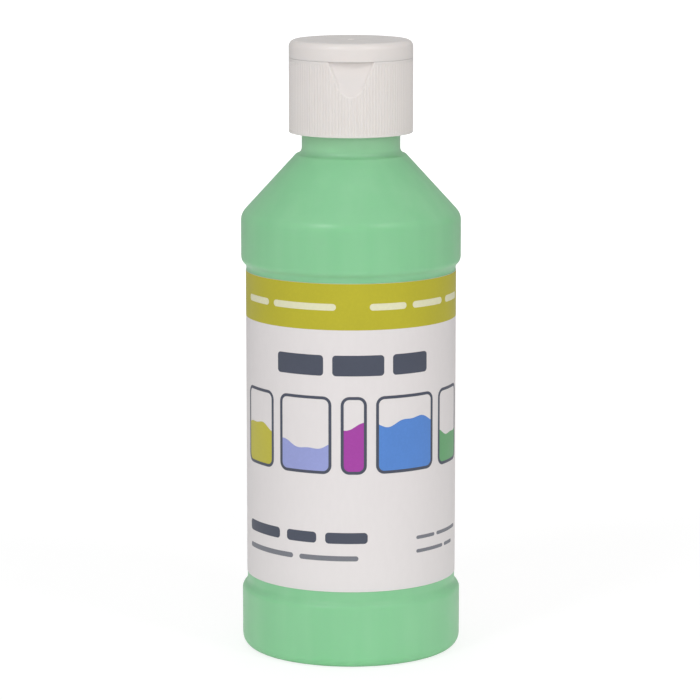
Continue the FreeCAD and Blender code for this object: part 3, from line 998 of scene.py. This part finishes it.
def linear(red, green, blue):
    """An sRGB colour from 0 to 255 as a linear RGBA."""

    def channel(value):
        value /= 255
        return value / 12.92 if value <= 0.04045 else ((value + 0.055) / 1.055) ** 2.4

    return (channel(red), channel(green), channel(blue), 1.0)


class Nodes:
    """A material under construction: short calls that add and join nodes."""

    def __init__(self, name):
        self.material = bpy.data.materials.new(name)
        self.material.use_nodes = True
        self.tree = self.material.node_tree
        self.surface = self.tree.nodes["Principled BSDF"]
        self.place = self.add("ShaderNodeTexCoord").outputs["Object"]

    def add(self, kind, **settings):
        """Adds a node and sets its properties."""
        node = self.tree.nodes.new(kind)
        for key, value in settings.items():
            setattr(node, key, value)
        return node

    def put(self, socket, value):
        """Joins a socket to another one, or sets its value."""
        if isinstance(value, bpy.types.NodeSocket):
            self.tree.links.new(value, socket)
        else:
            socket.default_value = value

    def noise(self, size, detail=3, stretch=(1, 1, 1)):
        """Noise from 0 to 1 whose features are about size across, in metres."""
        mapping = self.add("ShaderNodeMapping")
        self.put(mapping.inputs["Vector"], self.place)
        mapping.inputs["Scale"].default_value = stretch
        node = self.add("ShaderNodeTexNoise")
        self.put(node.inputs["Vector"], mapping.outputs["Vector"])
        node.inputs["Scale"].default_value = 1 / size
        node.inputs["Detail"].default_value = detail
        return node.outputs["Fac"]

    def ranged(self, value, low, high, new_low, new_high, eased=False):
        """value from low to high, mapped to new_low to new_high."""
        node = self.add("ShaderNodeMapRange")
        if eased:
            node.interpolation_type = "SMOOTHSTEP"
        self.put(node.inputs["Value"], value)
        node.inputs["From Min"].default_value = low
        node.inputs["From Max"].default_value = high
        node.inputs["To Min"].default_value = new_low
        node.inputs["To Max"].default_value = new_high
        return node.outputs["Result"]

    def mixed(self, share, first, second):
        """A colour between two."""
        node = self.add("ShaderNodeMix", data_type="RGBA")
        self.put(node.inputs["Factor"], share)
        self.put(node.inputs[MIX_FIRST], first)
        self.put(node.inputs[MIX_SECOND], second)
        return node.outputs[MIX_RESULT]

    def bumped(self, height, distance, below=None):
        """A bump of this height in metres, on top of another one."""
        node = self.add("ShaderNodeBump")
        node.inputs["Distance"].default_value = distance
        self.put(node.inputs["Height"], height)
        if below is not None:
            self.put(node.inputs["Normal"], below)
        return node.outputs["Normal"]

    def set(self, **values):
        """Sets inputs of the surface by name, with _ for each space."""
        for key, value in values.items():
            self.put(self.surface.inputs[key.replace("_", " ")], value)


def shade(colour, factor):
    """A colour made lighter or darker."""
    return tuple(min(1.0, part * factor) for part in colour[:3]) + (1.0,)


PAINT_GREEN = linear(136, 205, 152)
MILKY_GREEN = linear(185, 232, 192)
CAP_WHITE = linear(232, 226, 223)
FILM_WHITE = linear(229, 224, 224)


def bottle_material():
    """Semi-gloss polyethylene, thin enough to show the paint behind it."""
    make = Nodes("bottle_plastic_look")
    clouds = make.noise(30 * MM, detail=2)
    streaks = make.noise(6 * MM, detail=2, stretch=(1, 1, 0.12))
    green = make.mixed(clouds, shade(PAINT_GREEN, 0.95), shade(PAINT_GREEN, 1.05))
    green = make.mixed(make.ranged(streaks, 0.4, 0.7, 0, 0.1), green, MILKY_GREEN)
    # Milkier, lighter green from just below the ledge up the neck: partly the plastic
    # with no paint behind it, partly painted light that lifts the shade under the cap.
    split = make.add("ShaderNodeSeparateXYZ")
    make.put(split.inputs[0], make.place)
    above = make.ranged(
        split.outputs["Z"], LEDGE - 2 * MM, NECK_START + 5 * MM, 0, 0.6, eased=True
    )
    make.set(Base_Color=make.mixed(above, green, MILKY_GREEN))
    make.set(Roughness=make.ranged(make.noise(4 * MM), 0.3, 0.7, 0.34, 0.42))
    peel = make.bumped(make.noise(1.6 * MM, detail=2), 0.008 * MM)
    waves = make.bumped(make.noise(14 * MM, detail=1), 0.05 * MM, below=peel)
    make.set(Normal=waves, Coat_Weight=0.12, Coat_Roughness=0.25)
    make.set(Subsurface_Weight=0.3, Subsurface_Scale=3 * MM)
    make.set(Subsurface_Radius=(0.6, 1.0, 0.6))
    return make.material


def paint_material():
    """Thick liquid paint, glossy and slightly uneven."""
    make = Nodes("paint_look")
    swirl = make.noise(8 * MM, detail=4)
    make.set(Base_Color=make.mixed(swirl, shade(PAINT_GREEN, 0.8), PAINT_GREEN))
    make.set(Roughness=make.ranged(swirl, 0.3, 0.7, 0.12, 0.25))
    make.set(Normal=make.bumped(make.noise(3 * MM), 0.08 * MM), IOR=1.45)
    return make.material


def cap_material(name, colour):
    """White moulded polypropylene, smooth and satin, with faint flow marks."""
    make = Nodes(name)
    clouds = make.noise(12 * MM, detail=2)
    make.set(Base_Color=make.mixed(clouds, shade(colour, 0.992), shade(colour, 1.004)))
    worn = make.noise(6 * MM, detail=2)
    make.set(Roughness=make.ranged(worn, 0.3, 0.7, 0.22, 0.26))
    flow = make.noise(20 * MM, detail=0, stretch=(1, 1, 0.4))
    make.set(Normal=make.bumped(flow, 0.02 * MM), IOR=1.49)
    make.set(Subsurface_Weight=0.35, Subsurface_Scale=1.2 * MM)
    make.set(Subsurface_Radius=(1.0, 0.95, 0.85))
    return make.material


def foam_material():
    """Closed-cell foam."""
    make = Nodes("liner_foam_look")
    cells = make.add("ShaderNodeTexVoronoi")
    make.put(cells.inputs["Vector"], make.place)
    cells.inputs["Scale"].default_value = 1 / (0.45 * MM)
    distance = cells.outputs["Distance"]
    light, dark = linear(236, 235, 230), linear(212, 211, 206)
    make.set(Base_Color=make.mixed(make.ranged(distance, 0, 0.6, 0, 1), light, dark))
    make.set(Roughness=0.85, Normal=make.bumped(distance, 0.06 * MM))
    return make.material


def film_material():
    """Satin label film."""
    make = Nodes("label_film_look")
    fibres = make.noise(1.2 * MM, detail=3, stretch=(1, 1, 0.4))
    clouds = make.noise(20 * MM, detail=2)
    tone = make.mixed(clouds, shade(FILM_WHITE, 0.985), shade(FILM_WHITE, 1.01))
    fibre = make.ranged(fibres, 0.4, 0.6, 0, 0.25)
    make.set(Base_Color=make.mixed(fibre, tone, shade(FILM_WHITE, 0.96)))
    make.set(Roughness=make.ranged(clouds, 0.3, 0.7, 0.42, 0.5), IOR=1.46)
    make.set(Normal=make.bumped(fibres, 0.006 * MM))
    return make.material


def ink_material(name, colour):
    """Printed ink: a little uneven, with the same satin as the film."""
    make = Nodes(f"ink_{name}_look")
    grain = make.noise(0.7 * MM, detail=2)
    clouds = make.noise(8 * MM, detail=2)
    tone = make.mixed(clouds, shade(colour, 0.95), shade(colour, 1.05))
    speckle = make.ranged(grain, 0.45, 0.75, 0, 0.18)
    make.set(Base_Color=make.mixed(speckle, tone, shade(colour, 1.25)))
    make.set(Roughness=make.ranged(clouds, 0.3, 0.7, 0.4, 0.48), IOR=1.46)
    make.set(Normal=make.bumped(grain, 0.004 * MM))
    return make.material


def paper_material(name, albedo, near_glow, far_glow):
    """White studio paper that may glow, so that the floor fades into the background;
    the table top's faint glow near the bottle is a painted pool of light.
    """
    make = Nodes(name)
    tone = make.noise(0.4, detail=1)
    light = (albedo, albedo, albedo, 1.0)
    make.set(Base_Color=make.mixed(tone, shade(light, 0.97), light), Roughness=0.9)
    away = make.add("ShaderNodeVectorMath", operation="LENGTH")
    make.put(away.inputs[0], make.place)
    distance = away.outputs["Value"]
    glow = make.ranged(distance, GLOW_START, GLOW_END, near_glow, far_glow, eased=True)
    make.set(Emission_Color=(*WHITE, 1.0), Emission_Strength=glow)
    return make.material


INKS = {
    "olive": linear(186, 178, 40),
    "pale": linear(226, 224, 190),
    "navy": linear(73, 78, 93),
    "grey": linear(120, 122, 130),
    "yellow": linear(192, 184, 62),
    "periwinkle": linear(150, 158, 212),
    "magenta": linear(164, 62, 162),
    "blue": linear(84, 134, 208),
    "green": linear(102, 166, 112),
}


# ---------------------------------------------------------------- putting it together


def dress(piece, material, body, slot, *nodes):
    """Gives a piece its material and its body, and hides the nodes it replaces. The
    slot is not used.
    """
    piece.data.materials.append(material)
    if body:
        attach(piece, body)
    if nodes:
        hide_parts(*nodes)


def build_bottle():
    """The shell and the paint in it."""
    dress(make_bottle(), bottle_material(), "bottle", "bottle_plastic", "bottle")
    dress(make_paint(), paint_material(), "bottle", "paint", "paint")


def build_label():
    """The film and everything printed on it."""
    inks = {name: ink_material(name, colour) for name, colour in INKS.items()}
    dress(make_film(), film_material(), "bottle", "label_film", "label")
    prints = [
        (make_band(), "olive"),
        (make_rows("label_band_bars", [BAND_BARS], LINE_INK), "pale"),
        (make_rows("label_headline_bars", [HEADLINE_BARS]), "navy"),
        (make_window_lines(), "navy"),
        (make_rows("label_plain_bars", [NOTE_BARS]), "navy"),
        (make_rows("label_plain_lines", [NOTE_LINES] + SMALL_PRINT), "grey"),
        (make_rows("label_back_lines", BACK_PRINT), "grey"),
        (make_back_block(), "green"),
    ]
    for left, right, level, ink_name in WINDOWS:
        prints.append((make_window_fill(left, right, level, ink_name), ink_name))
    for piece, ink_name in prints:
        dress(piece, inks[ink_name], "bottle", "label_film")


def build_cap():
    """Cap base, lid and liner, and the hinge strap between cap and lid."""
    cap = cap_material("cap_plastic_look", CAP_WHITE)
    lid = cap_material("lid_plastic_look", CAP_WHITE)
    dress(make_cap_base(), cap, "cap", "cap_plastic", "cap_base")
    dress(make_flip_lid(), lid, "lid", "lid_plastic", "flip_lid")
    dress(make_liner(), foam_material(), "liner", "liner_foam", "cap_liner")
    strap = make_hinge_strap()
    dress(strap, cap, None, "hinge_plastic", "hinge_film")
    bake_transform(strap)


def add_disc(name, radius, height, material):
    """A round sheet of white paper."""
    mesh = bmesh.new()
    bmesh.ops.create_circle(mesh, cap_ends=True, radius=radius, segments=128)
    disc = finished(name, mesh)
    disc.location.z = height
    disc.data.materials.append(material)
    return disc


def build_floor():
    """The floor that is seen, and under it the table top that the bottle reflects."""
    paper = paper_material("floor_look", 0.25, 0.8, 1.0)
    floor = add_disc("floor", FLOOR_RADIUS, 0, paper)
    floor.visible_diffuse = False
    floor.visible_glossy = False
    floor.visible_shadow = False
    # Painted light: the table top glows faintly near the bottle and not further out, a
    # pool of light that the bottle reflects and is lit by.
    white = paper_material("table_look", 0.95, 0.1, 0.0)
    add_disc("table_top", TABLE_RADIUS, -0.1 * MM, white)


def add_light(name, azimuth, elevation, distance, size, power, colour, reflected):
    """A softbox that looks at the middle of the bottle. Azimuth 0 is at the front."""
    target = Vector((0, 0, LID_TOP / 2))
    turn, tilt = math.radians(azimuth), math.radians(elevation)
    way = Vector(
        (
            math.sin(turn) * math.cos(tilt),
            -math.cos(turn) * math.cos(tilt),
            math.sin(tilt),
        )
    )
    data = bpy.data.lights.new(name, "AREA")
    data.shape = "RECTANGLE"
    data.size, data.size_y = size
    data.energy = power
    data.color = colour
    light = bpy.data.objects.new(name, data)
    light.location = target + way * distance
    light.rotation_mode = "QUATERNION"
    light.rotation_quaternion = (-way).to_track_quat("-Z", "Y")
    light.visible_glossy = reflected
    bpy.context.scene.collection.objects.link(light)


def build_light():
    """The lamps, and an even white light from all round."""
    for lamp in LAMPS:
        add_light(*lamp)
    world = bpy.data.worlds.new("studio")
    world.use_nodes = True
    background = world.node_tree.nodes["Background"]
    background.inputs["Color"].default_value = (*WHITE, 1.0)
    background.inputs["Strength"].default_value = WORLD_STRENGTH
    bpy.context.scene.world = world


def build_camera():
    """In front of the bottle, above its top and looking down at it."""
    data = bpy.data.cameras.new("camera")
    data.sensor_width = 36.0
    data.lens = 179.6
    data.clip_start = 0.01
    data.shift_x = -0.0014
    camera = bpy.data.objects.new("camera", data)
    camera.location = (0, -CAMERA_DISTANCE, CAMERA_HEIGHT)
    camera.rotation_euler = (math.radians(90 - CAMERA_TILT), 0, 0)
    bpy.context.scene.collection.objects.link(camera)
    bpy.context.scene.camera = camera


build_bottle()
build_label()
build_cap()
build_floor()
build_light()
build_camera()
bpy.context.scene.view_settings.view_transform = "Standard"
